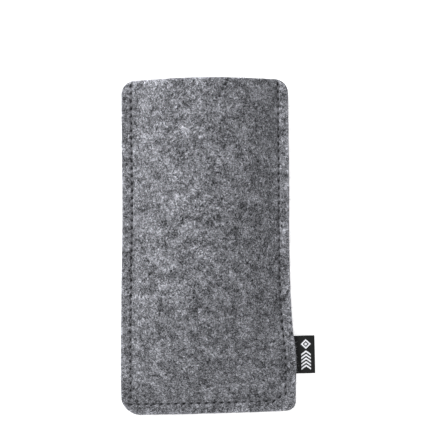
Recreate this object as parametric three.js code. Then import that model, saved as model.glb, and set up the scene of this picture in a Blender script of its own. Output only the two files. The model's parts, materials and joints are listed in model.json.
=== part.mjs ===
// A soft pouch for a pair of glasses. Two die-cut felt panels lie face to face and are lockstitched
// round three sides; the fourth side is the open mouth. A folded woven ribbon label is caught in the
// right-hand seam, and its free end flips. The pouch lies on its back and keeps the swollen shape
// that folded glasses give it.
//
// Millimetres. +Z is up, +Y points out of the mouth, and the label is on the +X side. The origin is
// on the flat underside of the back panel, midway along the pouch.

import * as THREE from "three";

// The felt panels, as they are cut flat
const PANEL_WIDTH = 90;
const PANEL_LENGTH = 170;
const FELT = 2.5;
const MOUTH_RADIUS = 6.7;
const BOTTOM_LEFT_RADIUS = 9.6;
const BOTTOM_RIGHT_RADIUS = 4.5;
const OUT_OF_SQUARE = 0.015; // rise of the bottom edge per millimetre across; the mouth is square
const EDGE_LIFT = { size: 0.5, across: 3, along: 12 }; // of the bottom edge's ends, and how it fades

// The seam
const SEAM_INSET = 5.25; // stitch line to cut edge
const SEAM_GAP = 0.3; // between the two panels where they are sewn
const CHANNEL_DEPTH = 1.0; // how far the stitches pull the felt in
const CHANNEL_HALF_WIDTH = 2.0;
const THREAD_RADIUS = 0.35;
const THREAD_PROUD = 0.15; // middle of the thread above the felt beside the channel
const SEAM_END = 2.5; // from the mouth's edge to the first stitch
const SEAM_CORNER = 1; // cut off the two corners of the stitch line
const MARGIN = 10; // the border round the panel that holds the seam and the rounded corners

// The swollen shape
const FRONT_BULGE = 13; // front panel above the seam, from half way along to the mouth
const BACK_DEPTH = 9.5; // back panel below the seam, there
const END_LIFT = 1; // underside of the bottom seam above the table
const SWELL_LENGTH = 110; // the swelling grows over this length from the bottom seam
const SWELL_EASE = 2.5; // 1 grows evenly; more grows fast at first and then levels off
const BACK_SWELL_LENGTH = 15; // the back panel reaches the table over this length
const FLAT_HALF_WIDTH = 20; // of the back panel that rests on the table
const ROUNDNESS = 1.25; // 1 is a parabola; more eases the panels into the seam
const TAKE_UP = 0.61; // how much an arched panel narrows; 2/3 if felt didn't stretch
const BEND = { size: 0.65, middle: -20, spread: 36 }; // the pouch's sides bow to the left
const BULGE = { size: 0.9, middle: -57, spread: 11 }; // the right side stands out at the label

// The label, a ribbon folded in half
const LABEL_LENGTH = 19.8; // along the seam
const LABEL_REACH = 8.8; // hinge line to fold
const LABEL_MIDDLE = -55.9; // along the pouch
const LABEL_TURN = 0.018; // radians that the label is sewn out of line
const RIBBON = 0.25;
const RIBBON_GAP = 0.2; // between plies, and between ribbon and felt
const FOLD_SWELL = 0.1; // how much fatter the fold is than the two plies
const FOLD_EASE = 1; // the plies part over this length before the fold
const TAIL_DEPTH = 7.7; // ribbon ends inside the seam, from the cut edge
const TAIL_PROUD = 0.2; // ribbon ends outside the cut edge
const HINGE_OUT = 0.7; // hinge line outside the cut edge
const FLAG_BACK = 0.1; // flag's inner end behind the hinge line
const ROOM_PAST = 2; // the felt's room for the ribbon ends reaches this far past the ribbon's edges
const ROOM_CLOSE = 6; // and closes over this length
const ROOM_DEPTH = 20; // it reaches this far in from the cut edge
const ROOM_OPEN = 5; // and opens over this length

// How finely the solids are drawn
const COLUMNS = 14; // across a panel, inside the margin
const ROWS = 26; // along it
const THREAD_STEPS = 120;

const halfWidth = PANEL_WIDTH / 2;
const halfLength = PANEL_LENGTH / 2;
const seamHalf = halfWidth - SEAM_INSET;
const seamBottom = -halfLength + SEAM_INSET;

const clamp01 = (t) => Math.min(1, Math.max(0, t));
const smooth = (t) => clamp01(t) ** 2 * (3 - 2 * clamp01(t));

// A hump that is 1 at 0 and falls away to 0 at 1.
const hump = (t) => (Math.abs(t) < 1 ? (1 - t * t) ** ROUNDNESS : 0);

// How far the swelling has grown at a place along the pouch, from 0 at the bottom seam to 1.
const swell = (along) => 1 - (1 - clamp01((along - seamBottom) / SWELL_LENGTH)) ** SWELL_EASE;

// A sideways bow of the pouch, by its greatest size, its middle and its spread.
const bow = ({ size, middle, spread }, along) => size * Math.exp(-(((along - middle) / spread) ** 2));

// Height of the back panel's underside at its seam.
const seamUnderside = (along) => END_LIFT + (BACK_DEPTH - END_LIFT) * swell(along);

// Height of the middle of the seam.
const seamHeight = (along) => seamUnderside(along) + FELT + SEAM_GAP / 2;

// Half the distance between the side seams: an arched panel spans less than a flat one.
const seamHalfSpan = (along) => seamHalf - TAKE_UP * (FRONT_BULGE * swell(along)) ** 2 / seamHalf;

// Distance on the flat panel from the stitch line, a U that is open at the mouth.
function fromSeam(across, along) {
  const side = Math.abs(across) - seamHalf;
  const end = seamBottom - along;
  const outside = Math.hypot(Math.max(side, 0), Math.max(end, 0));
  return Math.abs(outside + Math.min(Math.max(side, end), 0));
}

// The felt makes room for the ribbon ends between the panels.
function labelRoom(across, along) {
  const room = RIBBON_GAP / 2 + RIBBON + RIBBON_GAP - SEAM_GAP / 2;
  const past = Math.abs(along - LABEL_MIDDLE) - LABEL_LENGTH / 2 - ROOM_PAST;
  const inside = across - halfWidth + ROOM_DEPTH;
  return room * smooth(1 - past / ROOM_CLOSE) * smooth(inside / ROOM_OPEN);
}

// Half the panel's width at a distance from a cut end whose corner is rounded.
function roundedHalf(distance, radius) {
  const short = Math.max(0, radius - distance);
  return halfWidth - radius + Math.sqrt(radius * radius - short * short);
}

// Draws the margin of a square-cornered panel in to the rounded corners.
function roundCorners(across, along) {
  const margin = halfWidth - MARGIN;
  const outside = Math.abs(across) - margin;
  if (outside <= 0) return across;
  const bottomRadius = across < 0 ? BOTTOM_LEFT_RADIUS : BOTTOM_RIGHT_RADIUS;
  const edge = Math.min(
    roundedHalf(halfLength - along, MOUTH_RADIUS),
    roundedHalf(halfLength + along, bottomRadius),
  );
  return Math.sign(across) * (margin + (outside * (edge - margin)) / MARGIN);
}

// Where a point of the square-cornered panel lies in plan on the swollen pouch.
function plan(squareAcross, along) {
  const across = roundCorners(squareAcross, along);
  const inner = Math.min(Math.abs(across), seamHalf);
  const span = (inner / seamHalf) * seamHalfSpan(along) + Math.abs(across) - inner;
  const bulge = bow(BULGE, along) * (Math.max(0, across) / halfWidth) ** 2;
  const x = Math.sign(across) * span - bow(BEND, along) + bulge;
  const endShare = (1 - along / halfLength) / 2;
  const liftShare = Math.abs(x / halfWidth) ** EDGE_LIFT.across * endShare ** EDGE_LIFT.along;
  return [x, along + OUT_OF_SQUARE * x * endShare + EDGE_LIFT.size * liftShare];
}

// Height of the face that the front panel turns to the glasses.
const frontInner = (across, along) =>
  seamHeight(along) +
  SEAM_GAP / 2 +
  labelRoom(across, along) +
  FRONT_BULGE * swell(along) * hump(across / seamHalf);

// The same for the back panel, which is flat in the middle, where it rests on the table.
function backInner(across, along) {
  const past = Math.max(0, Math.abs(across) - FLAT_HALF_WIDTH) / (seamHalf - FLAT_HALF_WIDTH);
  const sag = seamUnderside(along) * smooth((along - seamBottom) / BACK_SWELL_LENGTH);
  return seamHeight(along) - SEAM_GAP / 2 - labelRoom(across, along) - sag * hump(past);
}

// The felt's thickness measured straight up, which is more where the panel slopes.
function upright(inner, across, along) {
  const step = 0.5;
  const slopeX = (inner(across + step, along) - inner(across - step, along)) / (2 * step);
  const slopeY = (inner(across, along + step) - inner(across, along - step)) / (2 * step);
  return FELT * Math.hypot(1, slopeX, slopeY);
}

// Depth of the channel that the stitches pull in the felt.
const channel = (across, along) =>
  CHANNEL_DEPTH * Math.max(0, 1 - fromSeam(across, along) / CHANNEL_HALF_WIDTH);

// Heights of the pouch's outside, front and back, before the stitches pull it in.
const frontOuter = (across, along) =>
  frontInner(across, along) + upright(frontInner, across, along);
const backOuter = (across, along) => backInner(across, along) - upright(backInner, across, along);

const sewnFront = (across, along) => frontOuter(across, along) - channel(across, along);
const sewnBack = (across, along) => backOuter(across, along) + channel(across, along);

// Evenly spaced values from a to b, without b.
const between = (a, b, count) => Array.from({ length: count }, (_, i) => a + ((b - a) * i) / count);

// Grid lines: close together at the cut edges and the stitch line, and open in the middle.
const channelSteps = [SEAM_INSET - CHANNEL_HALF_WIDTH, SEAM_INSET, SEAM_INSET + CHANNEL_HALF_WIDTH];
const edgeSteps = [0, ...channelSteps, MARGIN];
const endSteps = [0, 0.3, 1.2, 2.2, ...channelSteps, MARGIN];
const mirrored = (steps, half) => steps.map((s) => half - s).reverse();
const columns = [
  ...edgeSteps.map((s) => s - halfWidth),
  ...between(MARGIN - halfWidth, halfWidth - MARGIN, COLUMNS).slice(1),
  ...mirrored(edgeSteps, halfWidth),
];
const rows = [
  ...endSteps.map((s) => s - halfLength),
  ...between(MARGIN - halfLength, halfLength - MARGIN, ROWS).slice(1),
  ...mirrored(endSteps.filter((s) => s !== SEAM_INSET), halfLength),
];

// A panel: a box of felt, bent so that its lower and upper faces follow two heights.
function panel(lower, upper) {
  const box = new THREE.BoxGeometry(2, 2, 2, columns.length - 1, rows.length - 1, 1);
  const p = box.getAttribute("position");
  for (let i = 0; i < p.count; i++) {
    const column = columns[Math.round(((p.getX(i) + 1) / 2) * (columns.length - 1))];
    const row = rows[Math.round(((p.getY(i) + 1) / 2) * (rows.length - 1))];
    const height = p.getZ(i) > 0 ? upper(column, row) : lower(column, row);
    p.setXYZ(i, ...plan(column, row), height);
  }
  box.computeVertexNormals();
  return box;
}

// The stitch line on the flat pattern, from the mouth down the left side and up the right.
const stitchLine = new THREE.Path()
  .moveTo(-seamHalf, halfLength - SEAM_END)
  .lineTo(-seamHalf, seamBottom + SEAM_CORNER)
  .lineTo(SEAM_CORNER - seamHalf, seamBottom)
  .lineTo(seamHalf - SEAM_CORNER, seamBottom)
  .lineTo(seamHalf, seamBottom + SEAM_CORNER)
  .lineTo(seamHalf, halfLength - SEAM_END);

// A thread that lies on a panel's outside, over the channel that it pulls.
function thread(outer, proud) {
  const points = stitchLine
    .getSpacedPoints(THREAD_STEPS)
    .map(({ x, y }) => new THREE.Vector3(...plan(x, y), outer(x, y) + proud));
  const section = new THREE.Shape().absarc(0, 0, THREAD_RADIUS, 0, 2 * Math.PI);
  const extrudePath = new THREE.CatmullRomCurve3(points);
  return new THREE.ExtrudeGeometry(section, { steps: THREAD_STEPS, curveSegments: 3, extrudePath });
}

// One end of the ribbon, flat in the seam between the panels.
function tail(side) {
  const near = side * (RIBBON_GAP / 2);
  const far = side * (RIBBON_GAP / 2 + RIBBON);
  const box = new THREE.BoxGeometry(TAIL_DEPTH + TAIL_PROUD, LABEL_LENGTH, 2, 2, 6, 1);
  box.translate(halfWidth + TAIL_PROUD - (TAIL_DEPTH + TAIL_PROUD) / 2, LABEL_MIDDLE, 0);
  const p = box.getAttribute("position");
  for (let i = 0; i < p.count; i++) {
    const along = p.getY(i);
    const offset = p.getZ(i) > 0 ? Math.max(near, far) : Math.min(near, far);
    p.setXYZ(i, ...plan(p.getX(i), along), seamHeight(along) + offset);
  }
  box.computeVertexNormals();
  return box;
}

// The free end of the ribbon: two plies joined by a fold, reaching along +X from the hinge line.
function flag() {
  const slit = RIBBON_GAP / 2;
  const ply = slit + RIBBON;
  const fold = ply + FOLD_SWELL;
  const bend = LABEL_REACH - fold;
  const outline = new THREE.Shape()
    .moveTo(-FLAG_BACK, -ply)
    .lineTo(bend - FOLD_EASE, -ply)
    .lineTo(bend, -fold)
    .absarc(bend, 0, fold, -Math.PI / 2, Math.PI / 2)
    .lineTo(bend - FOLD_EASE, ply)
    .lineTo(-FLAG_BACK, ply)
    .lineTo(-FLAG_BACK, slit)
    .lineTo(bend, slit)
    .absarc(bend, 0, slit, Math.PI / 2, -Math.PI / 2, true)
    .lineTo(-FLAG_BACK, -slit);
  const settings = { depth: LABEL_LENGTH, bevelEnabled: false, curveSegments: 6 };
  return new THREE.ExtrudeGeometry(outline, settings).translate(0, 0, -LABEL_LENGTH / 2);
}

const felt = new THREE.MeshStandardMaterial({ color: 0x75767b, roughness: 0.95 });
const stitching = new THREE.MeshStandardMaterial({ color: 0x3a3b3f, roughness: 0.7 });
const ribbon = new THREE.MeshStandardMaterial({ color: 0x1d1e1f, roughness: 0.6 });

function node(name, geometry, material) {
  const mesh = new THREE.Mesh(geometry, material);
  mesh.name = name;
  return mesh;
}

// The label follows the slope of the seam, and turns about a line just outside the cut edge.
const labelStart = LABEL_MIDDLE - LABEL_LENGTH / 2;
const labelRise = seamHeight(labelStart + LABEL_LENGTH) - seamHeight(labelStart);
const [labelX, labelY] = plan(halfWidth, LABEL_MIDDLE);
const flip = new THREE.Group();
flip.position.set(labelX + HINGE_OUT, labelY, seamHeight(LABEL_MIDDLE));
flip.rotation.set(Math.atan2(labelRise, LABEL_LENGTH) - Math.PI / 2, 0, LABEL_TURN, "ZYX");
flip.add(node("label_flag", flag(), ribbon));

const pouch = new THREE.Group();
pouch.add(
  node("front_panel", panel(frontInner, sewnFront), felt),
  node("back_panel", panel(sewnBack, backInner), felt),
  node("needle_thread", thread(frontOuter, THREAD_PROUD), stitching),
  node("bobbin_thread", thread(backOuter, -THREAD_PROUD), stitching),
  node("label_tail_front", tail(1), ribbon),
  node("label_tail_back", tail(-1), ribbon),
  flip,
);

export default pouch;
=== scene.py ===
# A soft felt pouch for glasses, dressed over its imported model: two melange felt panels with
# pulled-in stitching, the twisted sewing threads on both faces, and a folded woven label.
import json
import math

import bpy
import numpy as np
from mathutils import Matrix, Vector


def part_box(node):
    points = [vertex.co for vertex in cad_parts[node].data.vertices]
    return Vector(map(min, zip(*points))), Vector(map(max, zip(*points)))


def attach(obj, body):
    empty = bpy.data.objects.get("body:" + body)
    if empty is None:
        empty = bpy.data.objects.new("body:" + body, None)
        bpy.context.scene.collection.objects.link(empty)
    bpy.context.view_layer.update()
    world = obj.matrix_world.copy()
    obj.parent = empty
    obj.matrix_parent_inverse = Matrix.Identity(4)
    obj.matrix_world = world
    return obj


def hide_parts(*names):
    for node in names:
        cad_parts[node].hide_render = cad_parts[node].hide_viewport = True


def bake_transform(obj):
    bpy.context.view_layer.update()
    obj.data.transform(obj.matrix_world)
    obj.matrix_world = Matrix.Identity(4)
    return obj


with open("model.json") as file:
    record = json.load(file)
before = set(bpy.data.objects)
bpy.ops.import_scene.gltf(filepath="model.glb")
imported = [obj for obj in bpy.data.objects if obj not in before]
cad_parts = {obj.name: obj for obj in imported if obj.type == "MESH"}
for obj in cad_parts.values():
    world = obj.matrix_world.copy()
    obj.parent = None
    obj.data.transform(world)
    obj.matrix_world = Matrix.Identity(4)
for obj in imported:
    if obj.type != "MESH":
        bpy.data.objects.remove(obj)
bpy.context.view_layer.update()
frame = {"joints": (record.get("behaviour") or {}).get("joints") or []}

MM = 0.001
CENTIMETRE = 0.01

# ------------------------------------------------------------------------------------- camera
CAMERA_PLACE = Vector((6, 15.2, 620)) * MM
CAMERA_ROLL = math.radians(-0.7)
CAMERA_LENS = 98.7  # millimetres, for a sensor 36 mm wide


def make_camera():
    data = bpy.data.cameras.new("camera")
    data.lens = CAMERA_LENS
    data.sensor_width = 36
    camera = bpy.data.objects.new("camera", data)
    camera.location = CAMERA_PLACE
    camera.rotation_euler = (0, 0, CAMERA_ROLL)
    bpy.context.scene.collection.objects.link(camera)
    bpy.context.scene.camera = camera


make_camera()

# -------------------------------------------------------------------------- sizes, in metres
front_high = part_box("front_panel")[1]
flag_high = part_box("label_flag")[1]
tail_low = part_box("label_tail_front")[0]
flip = frame["joints"][0]
hinge = Vector(flip["pos_m"])
label_up_pouch = -Vector(flip["axis"]).normalized()
label_out = label_up_pouch.cross(Vector((0, 0, 1))).normalized()

half_length = front_high.y
half_width = 45 * MM
felt = 2.5 * MM
skew = 0.015  # rise of the bottom edge per unit across
edge_lift = (0.5 * MM, 3, 12)  # of the bottom edge's ends, and how it fades across and along
corner_radii = {  # by side, where -1 is the left, and by end, where -1 is the closed one
    (-1, 1): 6.7 * MM,
    (1, 1): 6.7 * MM,
    (-1, -1): 9.6 * MM,
    (1, -1): 4.5 * MM,
}

seam_gap = 0.3 * MM
seam_inset = 5.25 * MM
seam_half = half_width - seam_inset
seam_bottom = seam_inset - half_length
seam_top = half_length - 2.5 * MM
side_stitches = 43
side_stitch = (seam_top - seam_bottom) / side_stitches
seam_cut = (6 * MM, side_stitch)  # the seam cuts the bottom right corner
thread_radius = 0.34 * MM
thread_twist = 1.5 * MM

# The swollen shape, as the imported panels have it
front_bulge = 13 * MM
back_depth = 9.5 * MM
end_lift = 1 * MM
swell_length = 110 * MM
swell_ease = 2.5
back_swell_length = 15 * MM
flat_half = 20 * MM
roundness = 1.25
take_up = 0.61  # how much an arched panel narrows; 2/3 if felt didn't stretch
bend = (0.65 * MM, -20 * MM, 36 * MM)  # size, middle and spread
bulge = (0.9 * MM, -57 * MM, 11 * MM)

label_length = 19.8 * MM
label_middle = -55.9 * MM
ribbon = 0.25 * MM
ribbon_gap = 0.2 * MM
room_past = 2 * MM  # the felt's room for the ribbon's ends reaches this far past its edges
room_close = 6 * MM  # and closes over this length
room_depth = 20 * MM  # it reaches this far in from the cut edge
room_open = 5 * MM  # and opens over this length


# ------------------------------------------------------------------------- numbers and noise
def smooth(t):
    t = np.clip(t, 0, 1)
    return t * t * (3 - 2 * t)


LATTICE = 256  # cells, after which the noise repeats
LATTICE_MIDDLE = (128.37, 128.71)  # the cell that the origin falls in


def lattice_noise(x, y, cell, seed):
    """Smooth noise from -1 to 1 with features about one cell wide."""
    rng = np.random.default_rng(seed)
    values = rng.uniform(-1, 1, (LATTICE + 1, LATTICE + 1))
    gx, gy = np.asarray(x) / cell + LATTICE_MIDDLE[0], np.asarray(y) / cell + LATTICE_MIDDLE[1]
    ix, iy = np.floor(gx).astype(int), np.floor(gy).astype(int)
    fx, fy = smooth(gx - ix), smooth(gy - iy)
    ix, iy = ix % LATTICE, iy % LATTICE
    low = values[ix, iy] * (1 - fx) + values[ix + 1, iy] * fx
    high = values[ix, iy + 1] * (1 - fx) + values[ix + 1, iy + 1] * fx
    return low * (1 - fy) + high * fy


def layered_noise(x, y, layers, seed):
    """The sum of (cell, height) layers of noise."""
    return sum(
        height * lattice_noise(x, y, cell, seed + i) for i, (cell, height) in enumerate(layers)
    )


# ---------------------------------------------------- the pouch's shape, from its flat pattern
def swell(v):
    """How far the swelling has grown, from 0 at the bottom seam to 1."""
    return 1 - (1 - np.clip((v - seam_bottom) / swell_length, 0, 1)) ** swell_ease


def bow(size_middle_spread, v):
    """A sideways bow of the pouch."""
    size, middle, spread = size_middle_spread
    return size * np.exp(-(((v - middle) / spread) ** 2))


def seam_underside(v):
    """Height of the back panel's underside at its seam."""
    return end_lift + (back_depth - end_lift) * swell(v)


def seam_height(v):
    """Height of the middle of the seam."""
    return seam_underside(v) + felt + seam_gap / 2


def seam_half_span(v):
    """Half the distance between the side seams: an arched panel spans less than a flat one."""
    return seam_half - take_up * (front_bulge * swell(v)) ** 2 / seam_half


def hump(t):
    """1 at 0, falling away to 0 at 1."""
    return np.maximum(0, 1 - t * t) ** roundness


def plan(u, v):
    """Where a point of the flat pattern lies in plan on the swollen pouch."""
    inner = np.minimum(np.abs(u), seam_half)
    span = inner / seam_half * seam_half_span(v) + np.abs(u) - inner
    stand_out = bow(bulge, v) * (np.maximum(0, u) / half_width) ** 2
    x = np.sign(u) * span - bow(bend, v) + stand_out
    end_share = (1 - v / half_length) / 2
    lift = edge_lift[0] * np.abs(x / half_width) ** edge_lift[1] * end_share ** edge_lift[2]
    return x, v + skew * x * end_share + lift


def label_room(u, v):
    """The felt makes room for the ribbon's ends between the panels."""
    room = ribbon_gap / 2 + ribbon + ribbon_gap - seam_gap / 2
    past = np.abs(v - label_middle) - label_length / 2 - room_past
    inside = u - half_width + room_depth
    return room * smooth(1 - past / room_close) * smooth(inside / room_open)


SWAY = [(46 * MM, 0.55 * MM), (21 * MM, 0.2 * MM)]  # soft unevenness of the swollen front
SWAY_GROWTH = 16 * MM  # inside the seam, over which it sets in
SWAY_SEED = 23


def front_inner(u, v):
    """Height of the face that the front panel turns to the glasses."""
    body = front_bulge * swell(v) * hump(u / seam_half)
    inside_seam = np.minimum(seam_half - np.abs(u), v - seam_bottom)
    sway = layered_noise(u, v, SWAY, SWAY_SEED) * smooth(inside_seam / SWAY_GROWTH)
    return seam_height(v) + seam_gap / 2 + label_room(u, v) + body + sway


def back_inner(u, v):
    """The same for the back panel, which is flat in its middle, where it rests on the table."""
    past = np.maximum(0, np.abs(u) - flat_half) / (seam_half - flat_half)
    sag = seam_underside(v) * smooth((v - seam_bottom) / back_swell_length)
    return seam_height(v) - seam_gap / 2 - label_room(u, v) - sag * hump(past)


def upright(inner, u, v):
    """The felt's thickness measured straight up, which is more where the panel slopes."""
    step = 0.5 * MM
    slope_x = (inner(u + step, v) - inner(u - step, v)) / (2 * step)
    slope_y = (inner(u, v + step) - inner(u, v - step)) / (2 * step)
    return felt * np.sqrt(1 + slope_x**2 + slope_y**2)


def front_outer(u, v):
    return front_inner(u, v) + upright(front_inner, u, v)


def back_outer(u, v):
    return back_inner(u, v) - upright(back_inner, u, v)


# --------------------------------------------------------------------------------- the seam
SEAM_CORNERS = np.array(
    [
        (-seam_half, seam_top),
        (-seam_half, seam_bottom),
        (seam_half - seam_cut[0], seam_bottom),
        (seam_half, seam_bottom + seam_cut[1]),
        (seam_half, seam_top),
    ]
)


def from_seam(u, v):
    """Distance on the flat pattern from the stitch line."""
    nearest = np.full(np.shape(u), np.inf)
    for a, b in zip(SEAM_CORNERS[:-1], SEAM_CORNERS[1:]):
        run = b - a
        t = np.clip(((u - a[0]) * run[0] + (v - a[1]) * run[1]) / (run @ run), 0, 1)
        nearest = np.minimum(nearest, np.hypot(u - a[0] - t * run[0], v - a[1] - t * run[1]))
    return nearest


def needle_holes():
    """Holes evenly spaced along each run of the seam, one in each corner, and the runs' directions."""
    holes, runs = [], []
    for a, b in zip(SEAM_CORNERS[:-1], SEAM_CORNERS[1:]):
        length = float(np.hypot(*(b - a)))
        count = max(1, round(length / side_stitch))
        holes += [a + (b - a) * i / count for i in range(count)]
        runs += [(b - a) / length] * count
    return np.array([*holes, SEAM_CORNERS[-1]]), np.array([*runs, runs[-1]])


HOLES, RUNS = needle_holes()
HOLE = (0.86 * MM, 0.45 * MM)  # half length along the seam and half width of a hole's mouth
NEAR_SEAM = 3 * MM  # no hole reaches further


def from_hole(u, v):
    """Distance from the nearest needle hole, 1 at its mouth, worked out only near the seam."""
    flat_u, flat_v = np.ravel(u), np.ravel(v)
    nearest = np.full(flat_u.shape, np.inf)
    near = np.ravel(from_seam(u, v)) < NEAR_SEAM
    off_u, off_v = flat_u[near, None] - HOLES[:, 0], flat_v[near, None] - HOLES[:, 1]
    along = (off_u * RUNS[:, 0] + off_v * RUNS[:, 1]) / HOLE[0]
    aside = (off_u * RUNS[:, 1] - off_v * RUNS[:, 0]) / HOLE[1]
    nearest[near] = np.hypot(along, aside).min(axis=1)
    return nearest.reshape(np.shape(u))


VALLEY = (0.14 * MM, 0.6 * MM)  # depth and half width of the valley along the seam
TENSION = [(11 * MM, 0.35), (4 * MM, 0.2)]  # how unevenly the stitches are drawn tight
TENSION_SEED = 61
HOLE_DEPTH = 1.9 * MM
HOLE_STEEPNESS = 3
DEEPEST = 2.15 * MM  # so that some felt is left under every hole


def in_hole(u, v):
    """1 in the middle of a needle hole, and 0 outside it."""
    return np.exp(-(from_hole(u, v) ** HOLE_STEEPNESS))


def pull(u, v):
    """How deep the stitches pull the felt in."""
    tight = 1 + layered_noise(u, v, TENSION, TENSION_SEED)
    valley = VALLEY[0] * np.exp(-((from_seam(u, v) / VALLEY[1]) ** 2))
    return np.minimum(DEEPEST, tight * (valley + HOLE_DEPTH * in_hole(u, v)))


# ------------------------------------------------------------------------------- mesh making
def new_object(name, vertices, faces, uv=None):
    mesh = bpy.data.meshes.new(name)
    mesh.from_pydata([tuple(p) for p in vertices], [], faces)
    mesh.validate()
    mesh.polygons.foreach_set("use_smooth", [True] * len(mesh.polygons))
    if uv is not None:
        layer = mesh.uv_layers.new(name="flat")
        corner = np.empty(len(mesh.loops), int)
        mesh.loops.foreach_get("vertex_index", corner)
        layer.data.foreach_set("uv", np.asarray(uv, np.float32)[corner].ravel())
    mesh.update()
    piece = bpy.data.objects.new(name, mesh)
    bpy.context.scene.collection.objects.link(piece)
    return piece


def grid_quads(rows, columns):
    """Vertex numbers of a grid's faces, and of the loop round its border."""
    index = np.arange(rows * columns).reshape(rows, columns)
    corners = [index[:-1, :-1], index[1:, :-1], index[1:, 1:], index[:-1, 1:]]
    border = [index[:, 0], index[-1, 1:], index[-2::-1, -1], index[0, -2:0:-1]]
    return np.stack(corners, axis=-1).reshape(-1, 4), np.concatenate(border)


# -------------------------------------------------------------------------------- the panels
GRID = (0.16 * MM, 0.3 * MM, 0.62 * MM)  # spacing at an edge or seam, at a hole, and elsewhere
GRID_GROWTH = 0.25  # of the spacing, with distance
INNER_GRID = 1.5 * MM  # widest spacing of the plainer inner face
LUMPS = [(9 * MM, 0.13 * MM), (4 * MM, 0.1 * MM), (1.9 * MM, 0.08 * MM), (1.0 * MM, 0.06 * MM)]
WANDER = [(38 * MM, 0.12 * MM), (12 * MM, 0.06 * MM)]  # of the cut, from a true outline
WANDER_FADE = 6 * MM  # in from the edge
ROUGH_EDGE = [(5 * MM, 0.06 * MM), (1.5 * MM, 0.07 * MM)]
INNER_LUMPS, WANDER_LAYER, ROUGH_LAYER = 50, 80, 90  # added to a panel's seed
EDGE_RADIUS = 0.35 * MM
INNER_EASE = 0.4  # how much of that rounding the inner face has
INNER_ROUGHNESS = 0.25  # and how much of the lumps
WALL_SWELL = 0.3 * MM  # the cut wall bulges out by this much
WALL_FULLNESS = 0.6  # 1 is a sine; less is a fuller bulge
WALL_SLANT = (3, 5)  # how the rough edge's noise runs down the wall
PAINTED_HOLE_SHADE = 0.6  # how much darker the felt is painted in a needle hole: painted shade that stands in for the pit's shadow
EDGE_WEAR_AND_HIGHLIGHT = 0.55  # how much paler the cut edge is painted: partly its loosened fibres, partly a painted highlight for the light they catch
EDGE_HIGHLIGHT_WIDTH = 1.0 * MM  # in from the edge
WALL_DULL = 0.8  # share of that paleness and painted highlight which the middle of the cut wall lacks
WALL_LEVELS = np.array([0.1, 0.25, 0.42, 0.58, 0.75, 0.9])  # of the wall's rings, from the outside in
grid_half = half_width - WALL_SWELL


def grid_lines(half, seams, holes):
    """Coordinates from -half to half, close together at the cut edges, seams and needle holes."""
    lines = [-half]
    while lines[-1] < half:
        near = min(abs(lines[-1] - place) for place in (-half, half, *seams))
        widest = GRID[1] if min(abs(lines[-1] + GRID[1] / 2 - holes)) < HOLE[0] else GRID[2]
        lines.append(lines[-1] + min(widest, GRID[0] + GRID_GROWTH * near))
    return np.array([*lines[:-1], half])


def round_corners(u, v):
    """Draws the corners of a square-cornered grid in to quarter circles."""
    u, v = u.copy(), v.copy()
    for (side, end), radius in corner_radii.items():
        a = (side * u - grid_half + radius) / radius
        b = (end * v - half_length + radius) / radius
        corner = (a > 0) & (b > 0)
        a, b = a[corner], b[corner]
        u[corner] = side * (grid_half - radius + radius * a * np.sqrt(1 - b * b / 2))
        v[corner] = end * (half_length - radius + radius * b * np.sqrt(1 - a * a / 2))
    return u, v


def inset(u, v):
    """Distance in from the cut outline."""
    result = np.empty(np.shape(u))
    for (side, end), radius in corner_radii.items():
        mine = (side * u >= 0) & (end * v >= 0)
        a = side * u[mine] - grid_half + radius
        b = end * v[mine] - half_length + radius
        outside = np.hypot(np.maximum(a, 0), np.maximum(b, 0)) + np.minimum(np.maximum(a, b), 0)
        result[mine] = radius - outside
    return result


def pattern_lines():
    """The grid's lines across and along the pattern."""
    beside = np.abs(HOLES[:, 0]) == seam_half
    across = grid_lines(grid_half, (-seam_half, seam_half), HOLES[~beside, 0])
    along = grid_lines(half_length, (seam_bottom,), HOLES[beside, 1])
    return across, along


def plainer(lines):
    """The numbers of the lines that the inner face keeps, close together only at the cut edges."""
    kept = [0]
    for i, line in enumerate(lines[:-1]):
        from_edge = lines[-1] - abs(line)
        if line - lines[kept[-1]] >= min(INNER_GRID, GRID[0] + GRID_GROWTH * from_edge):
            kept.append(i)
    return [*kept, len(lines) - 1]


LINES = pattern_lines()
GRID_U, GRID_V = round_corners(*np.meshgrid(*LINES, indexing="ij"))
GRID_QUADS, EDGE_LOOP = grid_quads(*GRID_U.shape)
INNER_POINTS = np.arange(GRID_U.size).reshape(GRID_U.shape)[np.ix_(*map(plainer, LINES))]


def outward_normals(x, y):
    """Unit normals in plan of a closed loop of points."""
    run_x, run_y = np.roll(x, -1) - np.roll(x, 1), np.roll(y, -1) - np.roll(y, 1)
    length = np.hypot(run_x, run_y)
    return run_y / length, -run_x / length


def cut_wall(top, under, seed):
    """Rings of points down the cut edge, between the borders of a panel's two faces."""
    normal_x, normal_y = outward_normals(top[:, 0], top[:, 1])
    rings = []
    for level in WALL_LEVELS:
        ring = top * (1 - level) + under * level
        place_x, place_y = (ring[:, i] + ring[:, 2] * WALL_SLANT[i] for i in range(2))
        out = WALL_SWELL * math.sin(math.pi * level) ** WALL_FULLNESS
        out = out + layered_noise(place_x, place_y, ROUGH_EDGE, seed + ROUGH_LAYER)
        ring[:, 0] += normal_x * out
        ring[:, 1] += normal_y * out
        rings.append(ring)
    return rings


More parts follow.
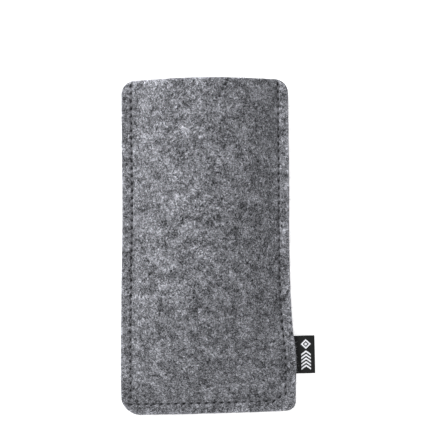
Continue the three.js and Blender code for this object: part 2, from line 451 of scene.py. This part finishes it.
def panel_faces(outward):
    """Faces between a panel's points: those of its outer face, its inner face and its wall."""
    inner_start = GRID_U.size
    wall_start = inner_start + INNER_POINTS.size
    inner_quads, inner_loop = grid_quads(*INNER_POINTS.shape)
    around = np.arange(len(EDGE_LOOP))
    rings = [wall_start + i * len(EDGE_LOOP) + around for i in range(len(WALL_LEVELS))]
    parts = [GRID_QUADS, inner_quads[:, ::-1] + inner_start]
    for a, b in zip([EDGE_LOOP, *rings[:-1]], rings):
        parts.append(np.stack([a, b, np.roll(b, -1), np.roll(a, -1)], axis=1))
    # Triangles join the last ring to the inner face, whose border has fewer points.
    last, rim = rings[-1], inner_start + inner_loop
    shared = np.flatnonzero(np.isin(EDGE_LOOP, INNER_POINTS.ravel()[inner_loop]))
    owner = np.searchsorted(shared, around, side="right") - 1
    parts.append(np.stack([last, rim[owner], np.roll(last, -1)], axis=1))
    parts.append(np.stack([last[np.roll(shared, -1)], rim, np.roll(rim, -1)], axis=1))
    return [face for part in parts for face in part[:, ::outward].tolist()]


def mark_painted_light_and_cut(piece):
    """Tells the material of a panel, point by point, where to paint shade into the needle holes, where to
    paint the cut edge paler with worn fibres and a painted highlight, and where the wall is cut.
    """
    # the cut edge is painted paler: loosened fibres, and a painted highlight where they catch the light
    edge_wear_and_highlight = EDGE_WEAR_AND_HIGHLIGHT * np.exp(-((inset(GRID_U, GRID_V).ravel() / EDGE_HIGHLIGHT_WIDTH) ** 2))
    # painted shade: the felt is darkened in each needle hole, where the pit is shadowed
    painted_hole_shade = PAINTED_HOLE_SHADE * in_hole(GRID_U, GRID_V).ravel()
    inside = edge_wear_and_highlight[INNER_POINTS.ravel()]
    wall = np.repeat(np.sin(math.pi * WALL_LEVELS), len(EDGE_LOOP))
    shade = 1 + np.concatenate([edge_wear_and_highlight - painted_hole_shade, inside, EDGE_WEAR_AND_HIGHLIGHT * (1 - WALL_DULL * wall)])
    even = np.concatenate([np.zeros(len(edge_wear_and_highlight) + len(inside)), wall])
    for attribute, values in (("shade", shade), ("even", even)):
        piece.data.attributes.new(attribute, "FLOAT", "POINT").data.foreach_set("value", values)


def panel(name, inner, outer, outward, seed):
    """A felt panel: an outer and an inner face, joined round the cut edge by a soft wall."""
    u, v = GRID_U, GRID_V
    depth = inset(u, v)
    short = np.clip(EDGE_RADIUS - depth, 0, EDGE_RADIUS)
    ease = EDGE_RADIUS - np.sqrt(EDGE_RADIUS**2 - short**2)
    outside = outer(u, v) - outward * (pull(u, v) + ease) + layered_noise(u, v, LUMPS, seed)
    if outward < 0:
        outside = np.maximum(outside, 0)  # the table
    roughness = np.abs(layered_noise(u, v, LUMPS, seed + INNER_LUMPS))
    inside = inner(u, v) + outward * (INNER_EASE * ease + INNER_ROUGHNESS * roughness)

    # The cut wanders a little; the shift fades out over the flange.
    x, y = plan(u, v)
    fade = np.exp(-((depth / WANDER_FADE) ** 2)) * (np.abs(u) > seam_half / 2)
    x = x + np.sign(u) * layered_noise(x, y, WANDER, seed + WANDER_LAYER) * fade

    top, under = (np.stack([x, y, height], axis=-1).reshape(-1, 3) for height in (outside, inside))
    walls = cut_wall(top[EDGE_LOOP], under[EDGE_LOOP], seed)
    vertices = np.concatenate([top, under[INNER_POINTS.ravel()], *walls])
    piece = new_object(name, vertices, panel_faces(outward))
    mark_painted_light_and_cut(piece)
    return piece


# ------------------------------------------------------------------------------- the threads
def frames_along(points):
    """Two directions to the side of a line, at each of its points, that turn as little as they can."""
    tangents = np.gradient(points, axis=0)
    tangents /= np.linalg.norm(tangents, axis=1)[:, None]
    side = np.cross(tangents[0], (0, 0, 1.0))
    side /= np.linalg.norm(side)
    sides = []
    for tangent in tangents:
        side = side - tangent * (side @ tangent)
        side /= np.linalg.norm(side)
        sides.append(side)
    sides = np.array(sides)
    return sides, np.cross(tangents, sides)


def tube(points, radius, around):
    """Vertices and faces of a closed tube along points."""
    side, up = frames_along(points)
    angle = np.linspace(0, 2 * math.pi, around, endpoint=False)
    ring = side[:, None] * np.cos(angle)[:, None] + up[:, None] * np.sin(angle)[:, None]
    vertices = (points[:, None] + radius * ring).reshape(-1, 3)
    index = np.arange(len(points) * around).reshape(len(points), around)
    turned = np.roll(index, -1, axis=1)
    quads = np.stack([index[:-1], turned[:-1], turned[1:], index[1:]], axis=-1).reshape(-1, 4)
    return vertices, quads.tolist() + [index[0][::-1].tolist(), index[-1].tolist()]


BACK_TACK = 3  # stitches sewn over again at each end of the seam
BESIDE = 0.55 * thread_radius  # how far their two runs lie to the sides of the line
STITCH_STEPS = 14
STRAY = 0.08 * MM  # of a stitch's middle, to the side
THREAD_DIVE = 0.7 * MM  # into the felt, below the bottom of a hole
DIVE_SHARE = 0.25  # of a stitch, at each end
DIVE_STEEPNESS = 1.4
THREAD_SUNK = 0.08 * MM  # of the thread's middle, into the felt of the valley


def stitch_order():
    """Needle holes in the order they are sewn, each with the thread's place to the side."""
    last = len(HOLES) - 1
    start = [(i, -BESIDE) for i in range(BACK_TACK, 0, -1)]
    onward = [(i, BESIDE if min(i, last - i) < BACK_TACK else 0.0) for i in range(last + 1)]
    end = [(i, -BESIDE) for i in range(last - 1, last - BACK_TACK - 1, -1)]
    return start + onward + end


def thread_line(outer, outward, seed):
    """The middle of a thread that lies in the valley and dives into the felt at each hole."""
    rng = np.random.default_rng(seed)
    order = stitch_order()
    points = []
    for (i, side_a), (j, side_b) in zip(order[:-1], order[1:]):
        run = HOLES[j] - HOLES[i]
        across = np.array([run[1], -run[0]]) / np.hypot(*run) * (1 if j > i else -1)
        stray = rng.normal(0, STRAY)
        for step in range(STITCH_STEPS):
            t = step / STITCH_STEPS
            aside = side_a * (1 - t) + side_b * t + stray * math.sin(math.pi * t)
            u, v = HOLES[i] + run * t + across * aside
            dive = max(0.0, 1 - min(t, 1 - t) / DIVE_SHARE) ** DIVE_STEEPNESS
            sunk = pull(np.array([u]), np.array([v]))[0] + THREAD_DIVE * dive + THREAD_SUNK
            points.append((*plan(u, v), outer(u, v) - outward * sunk))
    return np.array(points, float)


PLIES = 3
PLY_SIDES = 5
PLY_RADIUS = thread_radius * 0.52
PLY_STEP = 0.28 * MM


def thread(name, outer, outward, seed):
    """Plies twisted together along the thread's line."""
    line = thread_line(outer, outward, seed)
    run = np.concatenate([[0], np.cumsum(np.linalg.norm(np.diff(line, axis=0), axis=1))])
    even = np.arange(0, run[-1], PLY_STEP)
    line = np.stack([np.interp(even, run, line[:, i]) for i in range(3)], axis=1)
    side, up = frames_along(line)
    vertices, faces = [], []
    for ply in range(PLIES):
        angle = even * 2 * math.pi / thread_twist + ply * 2 * math.pi / PLIES
        offset = side * np.cos(angle)[:, None] + up * np.sin(angle)[:, None]
        made, joined = tube(line + (thread_radius - PLY_RADIUS) * offset, PLY_RADIUS, PLY_SIDES)
        faces += [[i + len(vertices) for i in face] for face in joined]
        vertices += made.tolist()
    return new_object(name, vertices, faces)


# --------------------------------------------------------------------------- loose fibres
FIBRES, EDGE_FIBRES = 3000, 1500  # on each panel, and how many of them stand at its cut edge
FIBRE_POINTS = 6
FIBRE_SIDES = 3
FIBRE_LENGTH = (1.2 * MM, 3.6 * MM)
FIBRE_RADIUS = (0.018 * MM, 0.04 * MM)
FIBRE_LIFT = (0.05 * MM, 0.3 * MM)  # of the middle of a fibre, which arches off the felt
FIBRE_SUNK = 0.03 * MM  # of its end
FIBRE_CURL = 0.28  # radians a step
EDGE_FIBRE_LENGTH = 0.6  # of the others' length
EDGE_FIBRE_FAN = 0.8  # radians about straight out of the edge
EDGE_FIBRE_PLACE = (-1.2, 0.1)  # millimetres out of the edge, where they start
LOWEST_FIBRE = 0.05 * MM
TINY = 1e-12  # keeps a division by a length of nothing from failing


def fibre_starts(rng):
    """Where fibres start on the pattern, those of the edge first, and which way they head."""
    edge_u, edge_v = GRID_U.ravel()[EDGE_LOOP], GRID_V.ravel()[EDGE_LOOP]
    normal_u, normal_v = outward_normals(edge_u, edge_v)
    steps = np.hypot(np.roll(edge_u, -1) - edge_u, np.roll(edge_v, -1) - edge_v)
    pick = rng.choice(len(EDGE_LOOP), EDGE_FIBRES, p=steps / steps.sum())
    fringe = rng.uniform(*EDGE_FIBRE_PLACE, EDGE_FIBRES) * MM
    margin = EDGE_RADIUS * 2
    lying = FIBRES - EDGE_FIBRES
    u = rng.uniform(-half_width + margin, half_width - margin, lying)
    v = rng.uniform(-half_length + margin, half_length - margin, lying)
    u, v = round_corners(u, v)
    u = np.concatenate([edge_u[pick] + normal_u[pick] * fringe, u])
    v = np.concatenate([edge_v[pick] + normal_v[pick] * fringe, v])
    heading = rng.uniform(0, 2 * math.pi, len(u))
    outwards = np.arctan2(normal_v[pick], normal_u[pick])
    heading[:EDGE_FIBRES] = outwards + rng.normal(0, EDGE_FIBRE_FAN, EDGE_FIBRES)
    return u, v, heading


def fibre_lines(rng, outer, outward):
    """The middle of each fibre, curling along over the panel's outside or beside its cut edge."""
    u, v, heading = fibre_starts(rng)
    turning = rng.normal(0, FIBRE_CURL, FIBRES)
    length = rng.uniform(*FIBRE_LENGTH, FIBRES)
    length[:EDGE_FIBRES] *= EDGE_FIBRE_LENGTH
    lift = rng.uniform(*FIBRE_LIFT, FIBRES)
    droop = np.where(np.arange(FIBRES) < EDGE_FIBRES, rng.uniform(0, felt, FIBRES), 0.0)
    points = np.empty((FIBRES, FIBRE_POINTS, 3))
    for i, t in enumerate(np.linspace(0, 1, FIBRE_POINTS)):
        arch = math.sin(math.pi * min(1.0, 0.1 + t))  # it starts a little off the felt and ends on it
        height = outer(u, v) - outward * (pull(u, v) + droop)
        points[:, i, 0], points[:, i, 1] = plan(u, v)
        points[:, i, 2] = height + outward * (lift * arch - FIBRE_SUNK)
        u = u + np.cos(heading) * length / (FIBRE_POINTS - 1)
        v = v + np.sin(heading) * length / (FIBRE_POINTS - 1)
        heading = heading + turning
    if outward < 0:
        points[:, :, 2] = np.maximum(points[:, :, 2], LOWEST_FIBRE)
    return points


def fibres(name, outer, outward, seed):
    """Single fibres that lie on a panel's outside or stand off its cut edge."""
    rng = np.random.default_rng(seed)
    points = fibre_lines(rng, outer, outward)
    tangent = np.gradient(points, axis=1)
    side = np.cross(tangent, (0, 0, 1.0))
    side /= np.linalg.norm(side, axis=2)[:, :, None] + TINY
    up = np.cross(side, tangent)
    up /= np.linalg.norm(up, axis=2)[:, :, None] + TINY
    radius = rng.uniform(*FIBRE_RADIUS, FIBRES)[:, None, None, None]
    angle = np.linspace(0, 2 * math.pi, FIBRE_SIDES, endpoint=False)[:, None]
    ring = side[:, :, None] * np.cos(angle) + up[:, :, None] * np.sin(angle)
    vertices = (points[:, :, None] + radius * ring).reshape(-1, 3)
    index = np.arange(len(vertices)).reshape(FIBRES, FIBRE_POINTS, FIBRE_SIDES)
    turned = np.roll(index, -1, axis=2)
    walls = np.stack([index[:, :-1], index[:, 1:], turned[:, 1:], turned[:, :-1]], axis=-1)
    faces = walls.reshape(-1, 4).tolist() + index[:, 0].tolist() + index[:, -1, ::-1].tolist()
    tone = rng.uniform(0, 1, FIBRES)
    tone[:EDGE_FIBRES] = np.sqrt(tone[:EDGE_FIBRES])  # more of these are pale: a painted highlight for the light they catch at the edge
    tone = np.repeat(tone, FIBRE_POINTS * FIBRE_SIDES)
    return new_object(name, vertices, faces, np.stack([tone, tone], axis=1))


# --------------------------------------------------------------------------------- the label
FOLD_RADIUS = 0.3 * MM
FOLD_STEPS = 9
RIBBON_STEP = 0.3 * MM
RIBBON_COLUMNS = 49
LAYER_PUFF = 0.2 * MM  # how far the ribbon's two layers swell apart in the middle
LAYER_PARTING = 4 * MM  # they part over this length
CORNER_CURL = 0.3 * MM
CURL_LENGTH = 9 * MM


def ribbon_profile():
    """The folded ribbon from end to end: out from the hinge line, and up from the seam."""
    half_gap = ribbon_gap / 2 + ribbon / 2
    tail = tail_low.x - hinge.x
    fold = flag_high.x - ribbon / 2 - hinge.x
    straight = np.arange(tail, fold - FOLD_RADIUS, RIBBON_STEP)
    turn = np.linspace(math.pi / 2, -math.pi / 2, FOLD_STEPS)
    puff = LAYER_PUFF * np.sin(math.pi * np.clip(straight / fold, 0, 1))
    spread = half_gap + (FOLD_RADIUS - half_gap) * smooth(straight / LAYER_PARTING) + puff
    reach = np.concatenate([straight, fold + FOLD_RADIUS * (np.cos(turn) - 1), straight[::-1]])
    rise = np.concatenate([spread, FOLD_RADIUS * np.sin(turn), -spread[::-1]])
    return reach, rise


def label():
    """A ribbon folded in half, with both its ends in the seam."""
    reach, rise = ribbon_profile()
    step_r, step_z = np.gradient(reach), np.gradient(rise)
    length = np.hypot(step_r, step_z)
    run = np.concatenate([[0], np.cumsum(np.hypot(np.diff(reach), np.diff(rise)))])
    across = np.linspace(-label_length / 2, label_length / 2, RIBBON_COLUMNS)
    curl = CORNER_CURL * smooth(reach / CURL_LENGTH)[:, None] * (across / label_length * 2) ** 2
    faces_out = []
    for shift in (ribbon / 2, -ribbon / 2):
        out = (reach - step_z / length * shift)[:, None] + 0 * across
        above = (rise + step_r / length * shift)[:, None] + curl
        height = seam_height(label_middle + across) + above
        x = hinge.x + out * label_out.x + across * label_up_pouch.x
        y = hinge.y + out * label_out.y + across * label_up_pouch.y
        faces_out.append(np.stack([x, y, height], axis=-1).reshape(-1, 3))
    quads, loop = grid_quads(len(reach), len(across))
    total = len(faces_out[0])
    rim = np.stack([loop, loop + total, np.roll(loop, -1) + total, np.roll(loop, -1)], axis=1)
    faces = np.concatenate([quads, quads[:, ::-1] + total, rim]).tolist()
    from_fold = (run - run[-1] / 2)[:, None] + 0 * across
    flat = np.stack([from_fold, across + 0 * from_fold], axis=-1).reshape(-1, 2) / CENTIMETRE
    return new_object("woven_label", np.concatenate(faces_out), faces, np.concatenate([flat, flat]))


# --------------------------------------------------------------------------------- materials
class Shader:
    """A material's node tree, with short ways to add to it."""

    def __init__(self, name):
        self.material = bpy.data.materials.new(name)
        self.material.use_nodes = True
        self.tree = self.material.node_tree
        self.principled = self.tree.nodes["Principled BSDF"]

    def add(self, kind, inputs=None, output=0, **settings):
        node = self.tree.nodes.new(kind)
        for key, value in settings.items():
            setattr(node, key, value)
        for key, value in (inputs or {}).items():
            self.put(value, node.inputs[key])
        return node.outputs[output]

    def put(self, value, socket):
        if isinstance(value, bpy.types.NodeSocket):
            self.tree.links.new(value, socket)
        else:
            socket.default_value = value

    def math(self, operation, a, b=0.0, c=0.0):
        return self.add("ShaderNodeMath", {0: a, 1: b, 2: c}, operation=operation)

    def noise(self, place, scale, detail=0.0, roughness=0.5):
        inputs = {"Vector": place, "Scale": scale, "Detail": detail, "Roughness": roughness}
        return self.add("ShaderNodeTexNoise", inputs)

    def vector(self, operation, a, b=None, **inputs):
        second = {} if b is None else {1: b}
        return self.add("ShaderNodeVectorMath", {0: a, **second, **inputs}, operation=operation)

    def mix(self, share, a, b):
        node = self.tree.nodes.new("ShaderNodeMix")
        node.data_type = "RGBA"
        self.put(share, node.inputs["Factor"])
        self.put(a, node.inputs["A"])
        self.put(b, node.inputs["B"])
        return node.outputs["Result"]

    def place(self):
        """A point's place in the piece's own frame, in metres."""
        return self.add("ShaderNodeTexCoord", output=3)

    def flat(self):
        """A point's two coordinates in the piece's flat map."""
        parts = self.tree.nodes.new("ShaderNodeSeparateXYZ")
        self.put(self.add("ShaderNodeUVMap", uv_map="flat"), parts.inputs[0])
        return parts.outputs[0], parts.outputs[1]

    def attribute(self, name):
        return self.add("ShaderNodeAttribute", output=2, attribute_name=name)

    def bump(self, height, strength, distance):
        return self.add("ShaderNodeBump", {"Strength": strength, "Distance": distance, "Height": height})

    def set(self, **values):
        for key, value in values.items():
            self.put(value, self.principled.inputs[key.replace("_", " ")])


FELT_TONE = 0.403  # before the flecks and strands are added
FELT_MIDDLE = 0.45  # afterwards, on average
FELT_DARKEST = 0.05
FELT_POWER = 2.2  # from these tones to reflectance
FELT_TINT = (0.955, 0.97, 1.06, 1)
CUT_EVENNESS = 0.5  # how much weaker the contrast is on the cut wall
FLECK_DETAIL = 0.6
FELT_MOTTLE = [(90.0, 0.15), (180.0, 0.23), (360.0, 0.29), (720.0, 0.22)]  # scale and weight
STRAND_DIRECTIONS = (0.1, 0.65, 1.15, 1.7, 2.2, 2.75)
STRAND_SCALE = (3900.0, 700.0, 2300.0)  # across a strand, along it and up
STRAND_BENDS = (240.0, 2.8 * MM)  # scale and size of the bends in a strand
STRAND_MEANS = (0.62, 0.38)  # of the highest of the noises, and of the lowest
STRAND_WEIGHTS = (1.26, 1.22)  # of the pale strands and the dark ones
FUZZ = (2600.0, 2.0, 0.6)  # scale, detail and roughness of the finest relief
STRAND_RELIEF, FUZZ_RELIEF = 1.2, 0.5


def strand_noises(shader, place):
    """Noise drawn out into curved strands, in one direction each."""
    scale, size = STRAND_BENDS
    warp = shader.add("ShaderNodeTexNoise", {"Vector": place, "Scale": scale, "Detail": 1.0}, output=1)
    shift = shader.vector("SCALE", shader.vector("SUBTRACT", warp, (0.5, 0.5, 0.5)), Scale=size)
    bent = shader.vector("ADD", place, shift)
    noises = []
    for angle in STRAND_DIRECTIONS:
        turned = shader.add(
            "ShaderNodeVectorRotate", {"Vector": bent, "Angle": angle}, rotation_type="Z_AXIS"
        )
        noises.append(shader.noise(shader.vector("MULTIPLY", turned, STRAND_SCALE), 1.0))
    return noises


def felt_material(name, offset):
    """Needle-punched felt of light and dark fibres: mottled, flecked and hairy."""
    shader = Shader(name)
    place = shader.vector("ADD", shader.place(), offset)

    tone = FELT_TONE
    for scale, weight in FELT_MOTTLE:
        fleck = shader.noise(place, scale, FLECK_DETAIL)
        tone = shader.math("MULTIPLY_ADD", shader.math("SUBTRACT", fleck, 0.5), weight, tone)

    noises = strand_noises(shader, place)
    pale, dark = noises[0], noises[0]
    for noise in noises[1:]:
        pale = shader.math("MAXIMUM", pale, noise)
        dark = shader.math("MINIMUM", dark, noise)
    for strands, mean, weight in zip((pale, dark), STRAND_MEANS, STRAND_WEIGHTS):
        tone = shader.math("MULTIPLY_ADD", shader.math("SUBTRACT", strands, mean), weight, tone)
    contrast = shader.math("MULTIPLY_ADD", shader.attribute("even"), -CUT_EVENNESS, 1.0)
    tone = shader.math("MULTIPLY_ADD", shader.math("SUBTRACT", tone, FELT_MIDDLE), contrast, FELT_MIDDLE)
    tone = shader.math("POWER", shader.math("MAXIMUM", tone, FELT_DARKEST), FELT_POWER)
    # painted shade in the needle holes, and a paler cut edge that is partly worn fibres and partly a
    # painted highlight
    tone = shader.math("MULTIPLY", tone, shader.attribute("shade"))

    fuzz = shader.noise(place, *FUZZ)
    relief = shader.math("MULTIPLY_ADD", pale, STRAND_RELIEF, shader.math("MULTIPLY", fuzz, FUZZ_RELIEF))
    shader.set(
        Base_Color=shader.mix(tone, (0.0, 0.0, 0.0, 1), FELT_TINT),
        Roughness=shader.math("MULTIPLY_ADD", fuzz, 0.12, 0.86),
        Normal=shader.bump(relief, strength=0.75, distance=0.2 * MM),
        Sheen_Weight=0.4,
        Sheen_Roughness=0.5,
        Sheen_Tint=(0.8, 0.82, 0.86, 1),
        Specular_IOR_Level=0.15,
    )
    return shader.material


FIBRE_POWER = 1.1  # from a fibre's own number to its grey
FIBRE_GREYS = [(0.035, 0.036, 0.04, 1), (0.5, 0.51, 0.55, 1)]
FIBRE_STREAKS = (900.0, 0.25)  # scale and weight of the changes along a fibre


def fibre_material():
    """Loose polyester fibres, each of its own grey, from near black to near white."""
    shader = Shader("felt_fibres")
    own = shader.math("POWER", shader.flat()[0], FIBRE_POWER)
    scale, weight = FIBRE_STREAKS
    share = shader.math("MULTIPLY_ADD", shader.noise(shader.place(), scale, 1.0), weight, own)
    color = shader.mix(share, *FIBRE_GREYS)
    shader.set(Base_Color=color, Roughness=0.6, Sheen_Weight=0.2, Specular_IOR_Level=0.3)
    return shader.material


THREAD_GREYS = [(0.055, 0.055, 0.062, 1), (0.225, 0.228, 0.25, 1)]
THREAD_FIBRES = (5200.0, 2.0, 0.6)  # scale, detail and roughness
THREAD_TINTS = 300.0  # scale of the slower changes
FIBRES_SHARE = 0.6  # of the changes in grey; the rest is the slower ones


def thread_material():
    """Twisted polyester, dark grey, with the fine fibres of each ply."""
    shader = Shader("sewing_thread")
    place = shader.place()
    fine = shader.noise(place, *THREAD_FIBRES)
    tint = shader.math("MULTIPLY", shader.noise(place, THREAD_TINTS, 1.0), 1 - FIBRES_SHARE)
    shader.set(
        Base_Color=shader.mix(shader.math("MULTIPLY_ADD", fine, FIBRES_SHARE, tint), *THREAD_GREYS),
        Roughness=shader.math("MULTIPLY_ADD", fine, 0.2, 0.55),
        Normal=shader.bump(fine, strength=0.4, distance=0.05 * MM),
        Sheen_Weight=0.15,
        Specular_IOR_Level=0.35,
    )
    return shader.material


# The woven pattern, in centimetres: out from the fold, and along from the ribbon's middle
PATTERN_MIDDLE = 0.465  # on both faces
PATTERN_HALF = 0.245
CHEVRONS = 5
CHEVRON = (0.185, 0.52)  # pitch, and the white share of it
CHEVRON_SLANT = 0.75
BAND_START = -0.62
DIAMOND_PLACE = 0.55
DIAMOND = (0.21, 0.05, 0.085)  # outline's size and half thickness, and the solid middle's size
WEFT_COUNT, WARP_COUNT = 36, 44  # threads to the centimetre
WEFT_HEIGHT, WARP_HEIGHT, PATTERN_HEIGHT = 0.3, 0.2, 0.8
RIBBON_BLACKS = [(0.006, 0.0065, 0.0065, 1), (0.019, 0.020, 0.020, 1)]
RIBBON_WHITES = [(0.74, 0.75, 0.80, 1), (0.96, 0.97, 1.0, 1)]


def label_material():
    """Black taffeta with a chevron band and a diamond woven in white."""
    shader = Shader("woven_ribbon")
    reach, along = shader.flat()
    off = shader.math("ABSOLUTE", shader.math("SUBTRACT", shader.math("ABSOLUTE", reach), PATTERN_MIDDLE))

    # Chevron band
    up = shader.math("SUBTRACT", shader.math("MULTIPLY_ADD", off, CHEVRON_SLANT, along), BAND_START)
    row = shader.math("DIVIDE", up, CHEVRON[0])
    stripe = shader.math("LESS_THAN", shader.math("FRACT", row), CHEVRON[1])
    band = shader.math("MULTIPLY", stripe, shader.math("LESS_THAN", off, PATTERN_HALF))
    band = shader.math("MULTIPLY", band, shader.math("GREATER_THAN", row, 0.0))
    band = shader.math("MULTIPLY", band, shader.math("LESS_THAN", row, float(CHEVRONS)))

    # Diamond outline with a solid middle
    from_middle = shader.math("ABSOLUTE", shader.math("SUBTRACT", along, DIAMOND_PLACE))
    diamond = shader.math("ADD", off, from_middle)
    ring = shader.math("ABSOLUTE", shader.math("SUBTRACT", diamond, DIAMOND[0]))
    outline = shader.math("LESS_THAN", ring, DIAMOND[1])
    centre = shader.math("LESS_THAN", diamond, DIAMOND[2])
    mark = shader.math("MAXIMUM", band, shader.math("MAXIMUM", outline, centre))

    # The weave: weft floats over warp
    weft = shader.math("SINE", shader.math("MULTIPLY", along, 2 * math.pi * WEFT_COUNT))
    warp = shader.math("SINE", shader.math("MULTIPLY", reach, 2 * math.pi * WARP_COUNT))
    cloth = shader.math("MULTIPLY_ADD", warp, WARP_HEIGHT, 0.5)
    cloth = shader.math("MULTIPLY_ADD", weft, WEFT_HEIGHT, cloth)
    black, white = shader.mix(cloth, *RIBBON_BLACKS), shader.mix(cloth, *RIBBON_WHITES)
    height = shader.math("MULTIPLY_ADD", mark, PATTERN_HEIGHT, cloth)
    shader.set(
        Base_Color=shader.mix(mark, black, white),
        Roughness=shader.math("MULTIPLY_ADD", cloth, -0.15, 0.7),
        Normal=shader.bump(height, strength=0.4, distance=0.05 * MM),
        Specular_IOR_Level=0.2,
    )
    return shader.material


def floor_material():
    """White paper, bright enough to leave only a faint shadow."""
    shader = Shader("pale_floor")
    shader.set(Base_Color=(0.9, 0.9, 0.9, 1), Roughness=0.9, Specular_IOR_Level=0.1)
    shader.set(Emission_Color=(1, 1, 1, 1), Emission_Strength=0.7)
    return shader.material


# ------------------------------------------------------------------------------------ pieces
def dress(piece, material, body, slot, *nodes):
    """Gives a piece its material, hangs it on its body in the frame if it has one, and hides the imported
    parts that it takes the place of.
    """
    piece.data.materials.append(material)
    if body:
        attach(piece, body)
    if nodes:
        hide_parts(*nodes)


BACK_FELT_OFFSET = (0.31, 0.17, 0.05)  # metres, so that the two panels' grain differs
front_look = felt_material("melange_felt_front", (0.0, 0.0, 0.0))
front = panel("front_felt", front_inner, front_outer, 1, seed=11)
dress(front, front_look, "pouch", "felt", "front_panel")
back_look = felt_material("melange_felt_back", BACK_FELT_OFFSET)
back = panel("back_felt", back_inner, back_outer, -1, seed=37)
dress(back, back_look, "pouch", "felt", "back_panel")

thread_look = thread_material()
needle = thread("needle_stitches", front_outer, 1, seed=5)
dress(needle, thread_look, "pouch", "thread", "needle_thread")
bobbin = thread("bobbin_stitches", back_outer, -1, seed=6)
dress(bobbin, thread_look, "pouch", "thread", "bobbin_thread")

fibre_look = fibre_material()
front_fuzz = fibres("front_fibres", front_outer, 1, seed=71)
dress(front_fuzz, fibre_look, "pouch", "felt")
back_fuzz = fibres("back_fibres", back_outer, -1, seed=72)
dress(back_fuzz, fibre_look, "pouch", "felt")

ribbon_label = label()
ribbon_nodes = ("label_flag", "label_tail_front", "label_tail_back")
dress(ribbon_label, label_material(), None, "ribbon", *ribbon_nodes)
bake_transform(ribbon_label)


# ------------------------------------------------------------------------------------- stage
FLOOR = -0.1 * MM  # just clear of the pouch's flat underside
FLOOR_SIZE = 6
SURROUND = 0.4  # strength of the light from all round


def make_stage():
    bpy.ops.mesh.primitive_plane_add(size=FLOOR_SIZE, location=(0, 0, FLOOR))
    floor = bpy.context.object
    floor.name = "floor"
    floor.data.materials.append(floor_material())


def area_light(name, place, size, power):
    """A round soft light that faces the pouch."""
    data = bpy.data.lights.new(name, "AREA")
    data.shape = "DISK"
    data.size = size
    data.energy = power
    light = bpy.data.objects.new(name, data)
    light.location = place
    light.rotation_euler = (-Vector(place)).to_track_quat("-Z", "Y").to_euler()
    bpy.context.scene.collection.objects.link(light)


def make_world():
    """Soft light from all round, behind a white background."""
    world = bpy.data.worlds.new("studio")
    world.use_nodes = True
    nodes, links = world.node_tree.nodes, world.node_tree.links
    glow = nodes["Background"]
    glow.inputs["Strength"].default_value = SURROUND
    white = nodes.new("ShaderNodeBackground")
    for background in (glow, white):
        background.inputs["Color"].default_value = (1, 1, 1, 1)
    seen = nodes.new("ShaderNodeMixShader")
    links.new(nodes.new("ShaderNodeLightPath").outputs["Is Camera Ray"], seen.inputs["Fac"])
    links.new(glow.outputs[0], seen.inputs[1])
    links.new(white.outputs[0], seen.inputs[2])
    links.new(seen.outputs[0], nodes["World Output"].inputs["Surface"])
    bpy.context.scene.world = world


make_stage()
area_light("key", place=(-0.72, 0.53, 0.67), size=0.5, power=14.6)
area_light("fill", place=(0.3, -0.2, 1.6), size=1.4, power=4.0)
make_world()
bpy.context.scene.view_settings.view_transform = "Standard"
